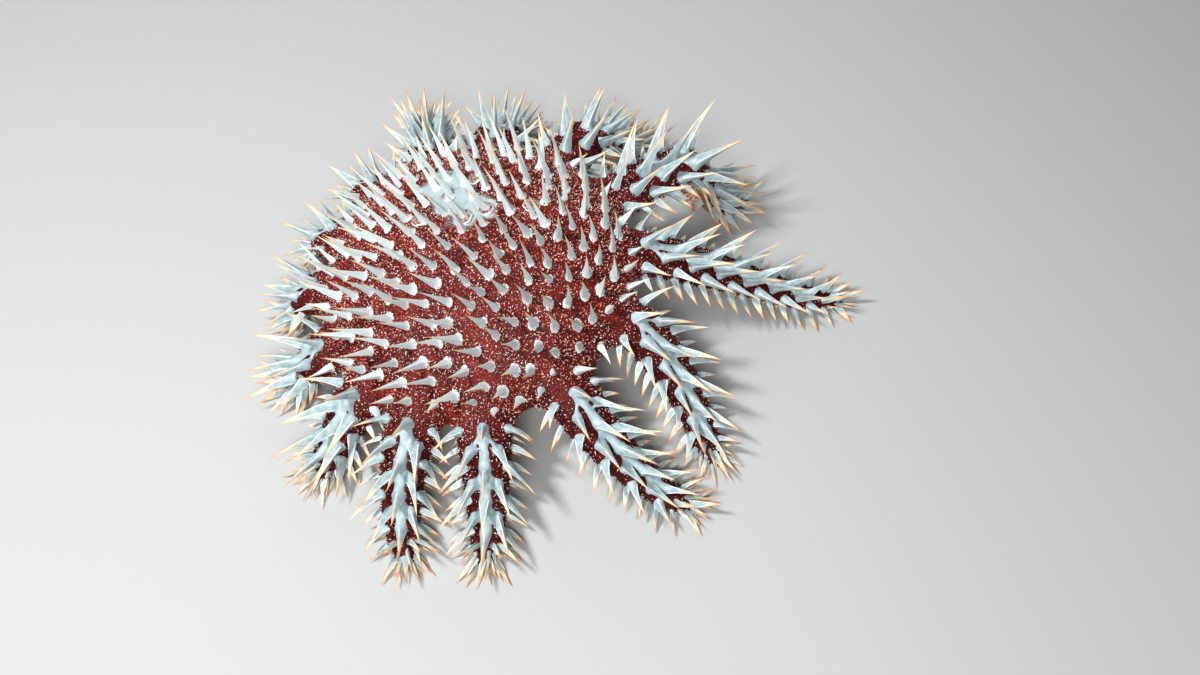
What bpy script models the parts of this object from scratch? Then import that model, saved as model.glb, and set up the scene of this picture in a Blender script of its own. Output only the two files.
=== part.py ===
"""Crown of thorns starfish, life size, draped over its own arms with the disc humped up.

The animal is a domed disc with fourteen arms. Each arm is two lengths, a base and a tip, and every
spine grows out of the disc or the arm that carries it. Metres, +Z up. The origin is on the floor
under the middle of the animal's bounding box.
"""

import math
import random
from collections import namedtuple

import bmesh
import bpy
import numpy as np
from mathutils import Vector
from mathutils.geometry import delaunay_2d_cdt

# The animal's axis, measured from the origin
DISC_X = -0.0509
DISC_Y = 0.0003

# The disc
FACE_DISTANCE = 0.0980          # from the axis to the flat face where an arm starts
DISC_CORNER_DISTANCE = 0.1000   # from the axis to the disc's corners between the arms
EDGE_HEIGHT = 0.0520            # centre of an arm's root above the floor
DISC_TILT_X = 0.130             # rise for each metre towards +X
DISC_TILT_Y = 0.080             # and towards +Y
DOME_RISE = 0.0310              # top of the disc above the roots' tops
DOME_FULLNESS = 2.5             # 2 is a plain bowl, more is a flatter top
ROOT_CREST = 0.0125             # top of the roots above their centres
BELLY_RISE = 0.0080             # the underside's hollow around the mouth
BELLY_DROP = 0.0113             # edge of the underside below the roots' centres
BELLY_RING_RADIUS = 0.0480
MOUTH_RADIUS = 0.0130
THROAT_RADIUS = 0.0072
MOUTH_DEPTH = 0.0100

# The arms' cross-section, half sizes at the root and at the tip
ROOT_HALF_WIDTH = 0.0182
ROOT_HALF_HEIGHT = 0.0130
TIP_HALF_WIDTH = 0.0085
TIP_HALF_HEIGHT = 0.0062
TAPER_POWER = 1.15
BACK_ANGLES = (-105, -75, -45, -15, 15, 45, 75, 105)
SOLE_ANGLES = (150, 180, 210)
GROOVE = 0.30                   # depth of the feeding groove, as a share of the half height
GROOVE_END = 0.80               # where along the arm it has run out
END_SCALE = 0.36                # size of the last ring, as a share
ROUND_END = 0.86                # where along the arm the rounded end begins
FLAT_END = 0.84                 # share of an arm's run at which it has come down to the floor
PRESSED_FROM = 0.80             # where along the arm its sole is pressed flat on the floor
PRESS = 0.0011
CELL_LENGTH = 0.0104            # spacing of the rings along an arm
FEWEST_RINGS = 7
ROOT_BEND = (0.0148, 0.0185)    # least and greatest radius of an arm's bend down at the disc
FLOOR_BEND = (0.0098, 0.0150)   # and of its bend out along the floor
ROOT_BEND_SHARE = 0.50          # of the run, between those limits
FLOOR_BEND_SHARE = 0.33
CURL_FROM = 0.77                # share of its run at which the curled arm turns up again
STEEPEST = 80                   # degrees
PATH_STEPS = 60                 # for measuring along the centre lines
HEADING_STEP = 0.02             # share of the arm over which its heading is measured

# Gaps and limits
GAP = 0.0003                    # between pieces that meet
SPINE_FLOOR = 0.0015            # lowest point that a spine may reach
SPINE_CLEARANCE = 0.0006
STATION_HALF_STEP = 0.0030      # of the places where an arm is tested for spines that enter it
LOW_SHARE = 0.06                # where that test starts along a spine

# The spines
DISC_SPINES = 168
GOLDEN_ANGLE = 137.508          # degrees from one to the next
DISC_SPINE_REACH = 0.0905       # outermost spine of the disc
DISC_SPINE_CROWDING = 0.47      # 0.5 is even, less crowds them at the rim
DISC_SPINE_SCATTER = 0.0019     # off the regular pattern
DISC_SPINE_FOOT = 0.0036
DISC_SPINE_LENGTH = 0.0235      # where they stand upright
DISC_SPINE_GROWTH = 0.0045      # longer where they lie down furthest
DISC_SPINE_WANDER = 0.11        # sideways, off the common lean
ARM_SPINE_LENGTH = 0.0310
ARM_SPINE_SWELL = 0.0085        # longer half way along an arm
ARM_SPINE_TAPER = 0.0090        # and shorter at its tip
LOW_ROW_SHARE = 0.84            # of that length, for the rows lowest on its sides
COMB_SPINE_LENGTH = 0.0170
TUFT_SPINE_LENGTH = 0.0200      # at the arms' tips
CURLED_TUFT_SPINE_LENGTH = 0.0300
TUFT_RINGS = 2
FOOT_SHARE = 0.8                # of a foot's corners' distance that counts as its radius
SHOULDER_AT = 0.26              # where the wide foot of a spine ends, as a share of its length
SHOULDER_SCALE = 0.50
SPINE_SPREAD = 0.12             # share by which lengths differ
SHORTER = (1.0, 0.8, 0.62)      # shares of the length that are tried where spines are crowded
SAMPLES = 13                    # points along a spine where its clearance is tested
LEAN_AT_AXIS = (-0.38, -0.05)   # level part of a spine's direction over the disc's axis
LEAN_SPREAD = (4.5, 6.5)        # what a metre away from the axis adds to it
MOST_LEAN = 0.86
ARM_LEAN = 0.65
COMB_LEAN = 0.45
COMB_DROOP = 0.25

SKIN_COLOUR = (0.235, 0.030, 0.022, 1.0)
SKIN_ROUGHNESS = 0.6

# root: bearing where the arm leaves the disc; tip and reach: bearing and distance of its tip;
# lowest: height of the lowest part of its centre line, which all but the curled arm end at
# level: how far it goes on level with the disc before it bends down; spines: share of their length
Arm = namedtuple("Arm", "root tip reach lowest level spines")
ON_FLOOR = 0.0050
CURLED = 0.0360
ARMS = (
    Arm(7, 4, 0.243, ON_FLOOR, 0.0, 0.78),
    Arm(-21, -35, 0.184, ON_FLOOR, 0.0, 0.74),
    Arm(-54, -44, 0.192, ON_FLOOR, 0.0, 0.74),
    Arm(-85, -87, 0.174, ON_FLOOR, 0.0, 0.82),
    Arm(-110, -102, 0.176, ON_FLOOR, 0.0, 0.82),
    Arm(-132, -131, 0.153, ON_FLOOR, 0.0, 0.94),
    Arm(-155, -161, 0.136, ON_FLOOR, 0.0, 0.9),
    Arm(180, 174, 0.129, ON_FLOOR, 0.0, 0.8),
    Arm(157, 151, 0.130, ON_FLOOR, 0.0, 0.72),
    Arm(134, 130, 0.139, ON_FLOOR, 0.0, 0.72),
    Arm(110, 106, 0.157, CURLED, 0.0, 0.85),
    Arm(86, 83, 0.176, ON_FLOOR, 0.008, 0.82),
    Arm(58, 55, 0.198, ON_FLOOR, 0.022, 0.85),
    Arm(32, 30, 0.212, ON_FLOOR, 0.050, 1.0),
)

Spine = namedtuple("Spine", "node foot centre direction length radius sturdy")


def clear_scene():
    for old in list(bpy.data.objects):
        bpy.data.objects.remove(old, do_unlink=True)


def vary(amount):
    """A repeatable chance value around 1, at most the amount away from it."""
    return 1.0 + CHANCE.uniform(-amount, amount)


def stray(amount):
    """A small level vector in a repeatable chance direction."""
    return Vector((CHANCE.uniform(-amount, amount), CHANCE.uniform(-amount, amount), 0.0))


def smooth(value):
    value = min(max(value, 0.0), 1.0)
    return value * value * (3.0 - 2.0 * value)


def polar(bearing, distance):
    angle = math.radians(bearing)
    return Vector((distance * math.cos(angle), distance * math.sin(angle), 0.0))


def edge_height(x, y):
    """Height of the arms' roots, which lie in one tilted plane."""
    return EDGE_HEIGHT + DISC_TILT_X * x + DISC_TILT_Y * y


# ---------------------------------------------------------------- the arms' shape


def plan_point(arm, along):
    """The arm seen from above, measured from the disc's axis: straight out at first, then curved."""
    start = polar(arm.root, FACE_DISTANCE + GAP)
    handle = polar(arm.root, 0.5 * (FACE_DISTANCE + arm.reach))
    end = polar(arm.tip, arm.reach)
    return start * (1 - along) ** 2 + handle * 2 * along * (1 - along) + end * along ** 2


def bends(run):
    """Radii of the bends at the root and at the floor, smaller where the arm has little room."""
    root = min(max(run * ROOT_BEND_SHARE, ROOT_BEND[0]), ROOT_BEND[1])
    floor = min(max(run * FLOOR_BEND_SHARE, FLOOR_BEND[0]), FLOOR_BEND[1])
    return root, floor


def slope_for(run, drop):
    """The steepness at which two bends and a straight slope between them cover run and drop."""
    both = sum(bends(run))
    low, high = 0.0, math.radians(STEEPEST)
    for _ in range(40):
        slope = 0.5 * (low + high)
        straight = run - both * math.sin(slope)
        if both * (1 - math.cos(slope)) + straight * math.tan(slope) < drop:
            low = slope
        else:
            high = slope
    return slope


def height_on_slope(out, run, top, bottom):
    """Height at a distance out from the root: bend down, straight slope, bend out at run."""
    root_bend, floor_bend = bends(run)
    slope = slope_for(run, top - bottom)
    first = root_bend * math.sin(slope)
    last = run - floor_bend * math.sin(slope)
    if out < first:
        return top - root_bend + math.sqrt(root_bend ** 2 - out ** 2)
    if out < last:
        return top - root_bend * (1 - math.cos(slope)) - (out - first) * math.tan(slope)
    return bottom + floor_bend - math.sqrt(floor_bend ** 2 - (run - out) ** 2)


def path_points(arm):
    """The arm's centre line as a fine chain of points."""
    plan = [plan_point(arm, number / PATH_STEPS) for number in range(PATH_STEPS + 1)]
    steps = [(b - a).length for a, b in zip(plan, plan[1:])]
    whole = sum(steps)
    curled = arm.lowest == CURLED
    run = whole * (CURL_FROM if curled else FLAT_END) - arm.level
    outward = polar(arm.root, 1.0)
    rise = DISC_TILT_X * outward.x + DISC_TILT_Y * outward.y
    top = edge_height(plan[0].x, plan[0].y) + 0.5 * rise * arm.level
    out = -arm.level
    for number, point in enumerate(plan):
        if out < 0.0:
            point.z = top - 0.5 * rise * out ** 2 / arm.level
        else:
            point.z = height_on_slope(out if curled else min(out, run), run, top, arm.lowest)
        if number < PATH_STEPS:
            out += steps[number]
    return np.array(plan)


def centre_line(arm, along):
    """A point of the arm's centre line, where along is a share of its true length."""
    points = PATHS[arm]
    lengths = np.concatenate([[0.0], np.cumsum(np.linalg.norm(np.diff(points, axis=0), axis=1))])
    place = along * lengths[-1]
    return Vector([np.interp(place, lengths, points[:, axis]) for axis in range(3)])


def frame(arm, along):
    """Centre, heading, sideways and upward directions at one place of the arm."""
    ahead = centre_line(arm, min(along + HEADING_STEP, 1.0))
    heading = ahead - centre_line(arm, max(along - HEADING_STEP, 0.0))
    if along == 0.0:
        heading = polar(arm.root, 1.0)
    heading.normalize()
    sideways = heading.cross(Vector((0, 0, 1))).normalized()
    upward = sideways.cross(heading)
    return centre_line(arm, along), heading, sideways, upward


def half_sizes(along):
    taper = along ** TAPER_POWER
    width = ROOT_HALF_WIDTH + (TIP_HALF_WIDTH - ROOT_HALF_WIDTH) * taper
    height = ROOT_HALF_HEIGHT + (TIP_HALF_HEIGHT - ROOT_HALF_HEIGHT) * taper
    if along > ROUND_END:
        share = (along - ROUND_END) / (1.0 - ROUND_END)
        shrink = math.sqrt(1.0 - (1.0 - END_SCALE ** 2) * share ** 2)
        width *= shrink
        height *= shrink
    return width, height


def section(arm, along, shift=0.0):
    """The ring of skin around the arm: eight points over the back and three along the sole."""
    centre, heading, sideways, upward = frame(arm, along)
    width, height = half_sizes(along)
    ring = []
    for bearing in BACK_ANGLES + SOLE_ANGLES:
        angle = math.radians(bearing)
        depth = 1.0 - GROOVE * (1.0 - smooth(along / GROOVE_END)) if bearing == 180 else 1.0
        point = centre + sideways * (width * math.sin(angle)) + upward * (height * depth * math.cos(angle))
        ring.append(point + heading * shift)
    if arm.lowest == ON_FLOOR and along > PRESSED_FROM:
        lowest = min(point.z for point in ring)
        for point in ring:
            point.z -= lowest + PRESS
    for point in ring:
        point.z = max(point.z, 0.0)
    return ring


def arm_length(arm):
    return float(np.linalg.norm(np.diff(PATHS[arm], axis=0), axis=1).sum())


def arm_stations(arm):
    """Closely spaced frames and half sizes along an arm, from just past its root."""
    count = math.ceil(arm_length(arm) / STATION_HALF_STEP)
    stations = []
    for number in range(1, count + 1):
        along = number / count
        stations.append([np.array(vector) for vector in frame(arm, along)] + list(half_sizes(along)))
    return stations


def ring_count(arm):
    return max(FEWEST_RINGS, round(arm_length(arm) / CELL_LENGTH))


# ---------------------------------------------------------------- the disc's shape


def dome_height(x, y):
    share = min(math.hypot(x, y) / FACE_DISTANCE, 1.0)
    return edge_height(x, y) + ROOT_CREST + DOME_RISE * (1.0 - share ** DOME_FULLNESS)


def belly_height(x, y):
    share = min(math.hypot(x, y) / FACE_DISTANCE, 1.0)
    return edge_height(x, y) - BELLY_DROP + BELLY_RISE * (1.0 - share)


def disc_ring(arm):
    """The arm's root ring moved back to the disc's face."""
    back = polar(arm.root, -GAP)
    return [point + back for point in section(arm, 0.0)]


def disc_spine_sites():
    """Places all over the disc, each with the three corners of a spine's foot."""
    sites = []
    for number in range(DISC_SPINES):
        distance = DISC_SPINE_REACH * ((number + 0.5) / DISC_SPINES) ** DISC_SPINE_CROWDING
        middle = polar(number * GOLDEN_ANGLE, distance) + stray(DISC_SPINE_SCATTER)
        if middle.length > DISC_SPINE_REACH:
            middle *= DISC_SPINE_REACH / middle.length
        corners = []
        for corner in range(3):
            place = middle + polar(number * GOLDEN_ANGLE + 120 * corner, DISC_SPINE_FOOT)
            corners.append(Vector((place.x, place.y, dome_height(place.x, place.y))))
        sites.append(corners)
    return sites


def build_disc_body():
    """The domed back, the wall between the arms and the underside with its mouth."""
    mesh = bmesh.new()
    rings = [[mesh.verts.new(point) for point in disc_ring(arm)] for arm in by_bearing()]
    count = len(rings)

    rim = []
    for ring in rings:
        rim.extend(reversed(ring[1:7]))
    sites = disc_spine_sites()
    corners = [mesh.verts.new(corner) for site in sites for corner in site]
    top = rim + corners
    flat = [vert.co.xy for vert in top]
    rim_edges = [(number, (number + 1) % len(rim)) for number in range(len(rim))]
    site_faces = [list(range(len(rim) + 3 * n, len(rim) + 3 * n + 3)) for n in range(len(sites))]
    _, _, triangles, _, _, _ = delaunay_2d_cdt(flat, rim_edges, site_faces, 1, 1e-9)
    feet = {}
    for triangle in triangles:
        face = mesh.faces.new([top[number] for number in triangle])
        if all(number >= len(rim) for number in triangle):
            numbers = {(number - len(rim)) // 3 for number in triangle}
            if len(numbers) == 1:
                feet[numbers.pop()] = face

    for number, ring in enumerate(rings):
        following = rings[(number + 1) % count]
        mesh.faces.new(ring)
        mesh.faces.new((ring[0], ring[1], following[6], following[7]))

    hem = []
    for ring in rings:
        hem.extend((ring[7], ring[8], ring[9], ring[10], ring[0]))
    inner = ring_of_verts(mesh, hem, BELLY_RING_RADIUS, 0.0)
    lip = ring_of_verts(mesh, hem, MOUTH_RADIUS, 0.0)
    throat = ring_of_verts(mesh, hem, THROAT_RADIUS, MOUTH_DEPTH)
    for outside, inside in ((hem, inner), (inner, lip), (lip, throat)):
        for number in range(len(hem)):
            after = (number + 1) % len(hem)
            mesh.faces.new((outside[number], outside[after], inside[after], inside[number]))
    mesh.faces.new(throat)
    bmesh.ops.recalc_face_normals(mesh, faces=mesh.faces)
    return mesh, feet


def ring_of_verts(mesh, hem, radius, rise):
    verts = []
    for vert in hem:
        bearing = math.atan2(vert.co.y, vert.co.x)
        x = radius * math.cos(bearing)
        y = radius * math.sin(bearing)
        verts.append(mesh.verts.new((x, y, belly_height(x, y) + rise)))
    return verts


def by_bearing():
    return sorted(ARMS, key=lambda arm: arm.root % 360)


# ---------------------------------------------------------------- the arms' bodies


def build_arm_body(arm, first, last, rings_in_all):
    """One length of an arm, from ring number first to ring number last."""
    mesh = bmesh.new()
    rings = []
    for number in range(first, last + 1):
        shift = GAP if number == first and first > 0 else 0.0
        ring = section(arm, number / rings_in_all, shift)
        rings.append([mesh.verts.new(point) for point in ring])
    size = len(rings[0])
    cells = {}
    for number, (here, there) in enumerate(zip(rings, rings[1:])):
        for cell in range(size):
            after = (cell + 1) % size
            face = mesh.faces.new((here[cell], here[after], there[after], there[cell]))
            cells[(first + number, cell)] = face
    mesh.faces.new(rings[0])
    mesh.faces.new(rings[-1])
    bmesh.ops.recalc_face_normals(mesh, faces=mesh.faces)
    return mesh, cells


# ---------------------------------------------------------------- the spines


def disc_lean(centre):
    """The level part of a disc spine's direction: they fan out, and all lean one way as well."""
    lean = Vector([at_axis + spread * place for at_axis, spread, place
                   in zip(LEAN_AT_AXIS, LEAN_SPREAD, centre)] + [0.0])
    return lean * min(1.0, MOST_LEAN / lean.length)


def spine(node, foot, direction, length, sturdy):
    """A spine on a face, tipped up where it would reach below the floor."""
    centre = foot.calc_center_median()
    radius = FOOT_SHARE * max((vert.co - centre).length for vert in foot.verts)
    direction = direction.normalized()
    lowest = (SPINE_FLOOR - centre.z) / length
    if direction.z < lowest:
        level = Vector((direction.x, direction.y, 0.0)).normalized()
        direction = level * math.sqrt(max(1.0 - lowest ** 2, 0.0)) + Vector((0, 0, lowest))
    return Spine(node, foot, centre, direction, length, radius, sturdy)


def disc_spines(node, feet):
    spines = []
    for _, foot in sorted(feet.items()):
        lean = disc_lean(foot.calc_center_median())
        length = DISC_SPINE_LENGTH + DISC_SPINE_GROWTH * lean.length
        upright = Vector((0.0, 0.0, math.sqrt(1.0 - lean.length_squared)))
        direction = upright + lean + stray(DISC_SPINE_WANDER)
        spines.append(spine(node, foot, direction, length * vary(SPINE_SPREAD), True))
    return spines


def arm_spines(node, arm, cells, rings_in_all):
    """Zig-zag rows of big spines over the back and a comb of small ones along both sides."""
    spines = []
    tuft_length = CURLED_TUFT_SPINE_LENGTH if arm.lowest == CURLED else TUFT_SPINE_LENGTH
    for (ring, cell), foot in sorted(cells.items()):
        along = (ring + 0.5) / rings_in_all
        heading = frame(arm, along)[1]
        leaning = foot.normal + heading * ARM_LEAN
        even = ring % 2 == 0
        if cell in (0, 6):
            direction = foot.normal + heading * COMB_LEAN - Vector((0, 0, COMB_DROOP))
            length = COMB_SPINE_LENGTH * (1.0 + arm.spines) / 2     # they differ half as much
            spines.append(spine(node, foot, direction, length * vary(SPINE_SPREAD), False))
        elif cell < 7 and ring >= rings_in_all - TUFT_RINGS:
            spines.append(spine(node, foot, leaning, tuft_length * vary(SPINE_SPREAD), False))
        elif cell in ((1, 3, 5) if even else (2, 4)):
            length = ARM_SPINE_LENGTH + ARM_SPINE_SWELL * math.sin(math.pi * along) - ARM_SPINE_TAPER * along
            length *= arm.spines * (LOW_ROW_SHARE if cell in (1, 5) else 1.0)
            spines.append(spine(node, foot, leaning, length * vary(SPINE_SPREAD), True))
    return spines


def samples(item, start_share):
    """Points along a spine from start_share of its length to its tip, with its radius at each."""
    shares = np.linspace(start_share, 1.0, SAMPLES)
    points = np.array(item.centre) + shares[:, None] * item.length * np.array(item.direction)
    if item.sturdy:
        sizes = np.interp(shares, (0.0, SHOULDER_AT, 1.0), (1.0, SHOULDER_SCALE, 0.0))
    else:
        sizes = 1.0 - shares
    return points, item.radius * sizes


def in_other_arm(points, radii, own_arm):
    for number, stations in enumerate(ARM_STATIONS):
        if number == own_arm:
            continue
        for centre, heading, sideways, upward, width, height in stations:
            offset = points - centre
            ahead = offset @ heading
            across = (offset @ sideways) / (width + radii + SPINE_CLEARANCE)
            above = (offset @ upward) / (height + radii + SPINE_CLEARANCE)
            if np.any((np.abs(ahead) < STATION_HALF_STEP) & (across ** 2 + above ** 2 < 1.0)):
                return True
    return False


def in_disc(points, radii):
    for (x, y, z), radius in zip(points, radii):
        if math.hypot(x, y) < DISC_CORNER_DISTANCE and z < dome_height(x, y) + radius:
            return True
    return False


def choose_clear(spines):
    """Keep the spines that pass clear of each other and of the other bodies, shortened if need be."""
    kept = []
    kept_points = np.empty((0, SAMPLES, 3))
    kept_radii = np.empty((0, SAMPLES))
    order = sorted(spines, key=lambda item: (not item.sturdy, item.node != "disc"))
    for item in order:
        own_arm = None if item.node == "disc" else int(item.node[4:6]) - 1
        for shorten in SHORTER:
            trial = item._replace(length=item.length * shorten)
            points, radii = samples(trial, SHOULDER_AT)
            gaps = np.linalg.norm(kept_points[:, :, None, :] - points[None, None, :, :], axis=3)
            needed = kept_radii[:, :, None] + radii[None, None, :] + SPINE_CLEARANCE
            if np.any(gaps < needed):
                continue
            low_points, low_radii = samples(trial, LOW_SHARE)
            if in_other_arm(low_points, low_radii, own_arm):
                continue
            if own_arm is not None and in_disc(low_points, low_radii):
                continue
            kept.append(trial)
            kept_points = np.concatenate([kept_points, points[None]])
            kept_radii = np.concatenate([kept_radii, radii[None]])
            break
    return kept


def grow(mesh, item):
    """Extrude a face into a spine: a wide foot, a shoulder and a sharp tip."""
    if item.sturdy:
        made = bmesh.ops.extrude_discrete_faces(mesh, faces=[item.foot])["faces"][0]
        shoulder = item.centre + item.direction * item.length * SHOULDER_AT
        for vert in made.verts:
            vert.co = shoulder + (vert.co - item.centre) * SHOULDER_SCALE
        item = item._replace(foot=made)
    point = bmesh.ops.poke(mesh, faces=[item.foot])["verts"][0]
    point.co = item.centre + item.direction * item.length


# ---------------------------------------------------------------- finished objects


def skin_material(name):
    material = bpy.data.materials.new(name)
    material.use_nodes = True
    shader = material.node_tree.nodes["Principled BSDF"]
    shader.inputs["Base Color"].default_value = SKIN_COLOUR
    shader.inputs["Roughness"].default_value = SKIN_ROUGHNESS
    shader.inputs["Metallic"].default_value = 0.0
    return material


def finish(name, mesh):
    bmesh.ops.triangulate(mesh, faces=mesh.faces)
    data = bpy.data.meshes.new(name)
    mesh.to_mesh(data)
    mesh.free()
    piece = bpy.data.objects.new(name, data)
    piece.location = (DISC_X, DISC_Y, 0.0)
    bpy.context.collection.objects.link(piece)
    data.materials.append(skin_material(name + "_skin"))
    data.shade_smooth()
    data.set_sharp_from_angle(angle=math.radians(50))


clear_scene()

CHANCE = random.Random(5)
PATHS = {arm: path_points(arm) for arm in ARMS}
ARM_STATIONS = [arm_stations(arm) for arm in ARMS]

bodies = {}
all_spines = []

disc_mesh, disc_feet = build_disc_body()
bodies["disc"] = disc_mesh
all_spines += disc_spines("disc", disc_feet)

for number, arm in enumerate(ARMS):
    rings = ring_count(arm)
    middle = rings // 2
    for part_name, first, last in (("base", 0, middle), ("tip", middle, rings)):
        node = f"arm_{number + 1:02d}_{part_name}"
        arm_mesh, arm_cells = build_arm_body(arm, first, last, rings)
        bodies[node] = arm_mesh
        all_spines += arm_spines(node, arm, arm_cells, rings)

for item in choose_clear(all_spines):
    grow(bodies[item.node], item)

for node, body in bodies.items():
    finish(node, body)
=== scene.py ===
"""Crown of thorns starfish, a still model at life size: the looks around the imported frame."""

import math
from collections import namedtuple

import bmesh
import bpy
import numpy as np
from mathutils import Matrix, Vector, noise
from mathutils.bvhtree import BVHTree
from mathutils.geometry import barycentric_transform
from mathutils.kdtree import KDTree


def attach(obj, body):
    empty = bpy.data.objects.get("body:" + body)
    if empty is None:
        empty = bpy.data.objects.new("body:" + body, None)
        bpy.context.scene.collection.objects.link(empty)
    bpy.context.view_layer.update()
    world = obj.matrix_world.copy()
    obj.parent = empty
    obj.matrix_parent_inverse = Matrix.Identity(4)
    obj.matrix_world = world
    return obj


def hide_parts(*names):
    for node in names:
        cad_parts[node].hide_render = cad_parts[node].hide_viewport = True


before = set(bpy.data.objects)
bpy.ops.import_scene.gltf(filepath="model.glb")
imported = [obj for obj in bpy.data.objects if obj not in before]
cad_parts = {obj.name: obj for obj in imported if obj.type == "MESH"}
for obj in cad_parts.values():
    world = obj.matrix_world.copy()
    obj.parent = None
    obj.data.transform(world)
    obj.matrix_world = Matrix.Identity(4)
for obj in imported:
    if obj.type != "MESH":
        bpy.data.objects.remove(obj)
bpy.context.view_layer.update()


# ------------------------ the bare body
# The disc and the lengths of the arms come from the frame with plain pyramids for spines.
# Here the pyramids come off, each foot is kept as a site, and the lengths close into one body.

MERGE = 0.00001
POINTED = math.radians(200)  # a vertex whose corners add up to less is a spine's point
MOST_SIDES = 4  # of a spine's foot, and of a sliver on a weld
GAP_BETWEEN_LENGTHS = 0.00040
ARM_NAMES = [f"arm_{number:02d}" for number in range(1, 15)]

Site = namedtuple("Site", "node foot normal tip kind")


def add_object(name, data):
    piece = bpy.data.objects.new(name, data)
    bpy.context.collection.objects.link(piece)
    return piece


def spine_points(mesh):
    points = []
    for vert in mesh.verts:
        corners = [loop.calc_angle() for loop in vert.link_loops]
        if len(corners) <= MOST_SIDES and sum(corners) < POINTED:
            points.append(vert)
    return points


def around(verts, leave_out):
    """The neighbours of some vertices, without those left out."""
    found = {edge.other_vert(vert) for vert in verts for edge in vert.link_edges}
    return found - set(verts) - leave_out


def in_order(verts, centre, axis):
    """Vertices of a ring, sorted by their bearing about an axis."""
    side = axis.orthogonal().normalized()
    other = axis.cross(side)

    def bearing(vert):
        arm = vert.co - centre
        return math.atan2(arm.dot(other), arm.dot(side))

    return sorted(verts, key=bearing)


def take_spines_off(mesh, node_name):
    """Removes the pyramids and returns (face left behind, tip, kind of spine) for each."""
    left = []
    for point in spine_points(mesh):
        ring = around([point], set())
        below = around(ring, {point})
        sturdy = len(below) == len(ring)  # its foot is wide, with a shoulder above it
        foot = below if sturdy else ring
        gone = [point] + (list(ring) if sturdy else [])
        kind = ("disc" if node_name == "disc" else "arm") if sturdy else "comb"
        centre = sum((vert.co for vert in foot), Vector()) / len(foot)
        axis = (point.co - centre).normalized()
        left.append((in_order(foot, centre, axis), point.co.copy(), kind, gone))
    bmesh.ops.delete(mesh, geom=[vert for item in left for vert in item[3]], context="VERTS")
    return [(mesh.faces.new(ring), tip, kind) for ring, tip, kind, _ in left]


def drop_end_faces(meshes):
    """Removes the faces where two lengths of the body meet, so that they can be welded."""
    surfaces = [BVHTree.FromBMesh(mesh) for mesh in meshes]
    for number, mesh in enumerate(meshes):
        others = surfaces[:number] + surfaces[number + 1:]
        met = {vert: {index for index, other in enumerate(others)
                      if other.find_nearest(vert.co, GAP_BETWEEN_LENGTHS)[0] is not None}
               for vert in mesh.verts}
        ends = [face for face in mesh.faces if set.intersection(*[met[vert] for vert in face.verts])]
        bmesh.ops.delete(mesh, geom=ends, context="FACES")


lengths = []
feet = []
for node_name, node in sorted(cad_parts.items()):
    length = bmesh.new()
    length.from_mesh(node.data)
    bmesh.ops.remove_doubles(length, verts=length.verts, dist=MERGE)
    feet += [(node_name, *found) for found in take_spines_off(length, node_name)]
    bmesh.ops.recalc_face_normals(length, faces=length.faces)
    lengths.append(length)
sites = [Site(node_name, face.calc_center_median(), face.normal.copy(), tip, kind)
         for node_name, face, tip, kind in feet]

drop_end_faces(lengths)
body = bmesh.new()
for length in lengths:
    plain = bpy.data.meshes.new("length")
    length.to_mesh(plain)
    length.free()
    body.from_mesh(plain)
    bpy.data.meshes.remove(plain)
bmesh.ops.remove_doubles(body, verts=body.verts, dist=GAP_BETWEEN_LENGTHS)
open_edges = [edge for edge in body.edges if len(edge.link_faces) == 1]
bmesh.ops.holes_fill(body, edges=open_edges, sides=MOST_SIDES)
bmesh.ops.dissolve_degenerate(body, dist=GAP_BETWEEN_LENGTHS, edges=body.edges)
bmesh.ops.join_triangles(body, faces=body.faces, angle_face_threshold=0.5, angle_shape_threshold=1.2)
bmesh.ops.recalc_face_normals(body, faces=body.faces)
bare_data = bpy.data.meshes.new("bare_body")
body.to_mesh(bare_data)
body.free()
bare_body = add_object("bare_body", bare_data)


# ------------------------ skin
# One soft, wet hide over the whole animal: brick red on the disc, dark maroon down the arms'
# sides, whitish by the sieve plates. It swells into a low collar at every spine's foot.

UP = Vector((0.0, 0.0, 1.0))
DISC_X = -0.0509
DISC_Y = 0.0003
DISC_CENTRE = Vector((DISC_X, DISC_Y, 0.055))
COAT_DEPTH = 0.0010  # of the nubs that stand on the skin
SKIN_CELL = 0.0018
MOUND_SPREAD = 0.0034
MOUND_RISE = 0.0012
FLANK_STARTS = 0.090  # from the middle of the disc
FLANK_FULL = 0.116
SOLE_STARTS = 0.25  # share by which a place faces away from the back
SOLE_FULL = 0.65
CREST_TO = 10.0  # degrees round the arm's back that still count as the crest
SHOULDER_TO = 37.0
# Each plate by its bearing in degrees and distance from the disc's axis, and each patch by its
# spread as well.
SIEVE_PLATES = ((108, 0.0185), (71, 0.0240), (148, 0.0400), (36, 0.0440), (92, 0.0500))
PALE_PATCHES = ((108, 0.0185, 0.0080), (71, 0.0240, 0.0080), (107, 0.0330, 0.0170), (112, 0.0540, 0.0160))
PATCH_GRAIN = 0.0090  # from one gap in a pale patch to the next
PATCH_GAPS = 0.9  # how deep the gaps are


def select_only(piece):
    bpy.ops.object.select_all(action="DESELECT")
    piece.select_set(True)
    bpy.context.view_layer.objects.active = piece


def apply_modifier(piece, kind, **settings):
    select_only(piece)
    modifier = piece.modifiers.new(kind.lower(), kind)
    for setting, value in settings.items():
        setattr(modifier, setting, value)
    bpy.ops.object.modifier_apply(modifier=modifier.name)


def smoothstep(low, high, value):
    share = np.clip((value - low) / (high - low), 0.0, 1.0)
    return share * share * (3.0 - 2.0 * share)


def norms(vectors):
    """The length of each of some vectors."""
    return np.linalg.norm(vectors, axis=1)


def read_vectors(piece, what):
    """The places ("co") or normals ("normal") of a piece's vertices."""
    flat = np.empty(len(piece.data.vertices) * 3)
    piece.data.vertices.foreach_get(what, flat)
    return flat.reshape(-1, 3)


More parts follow.
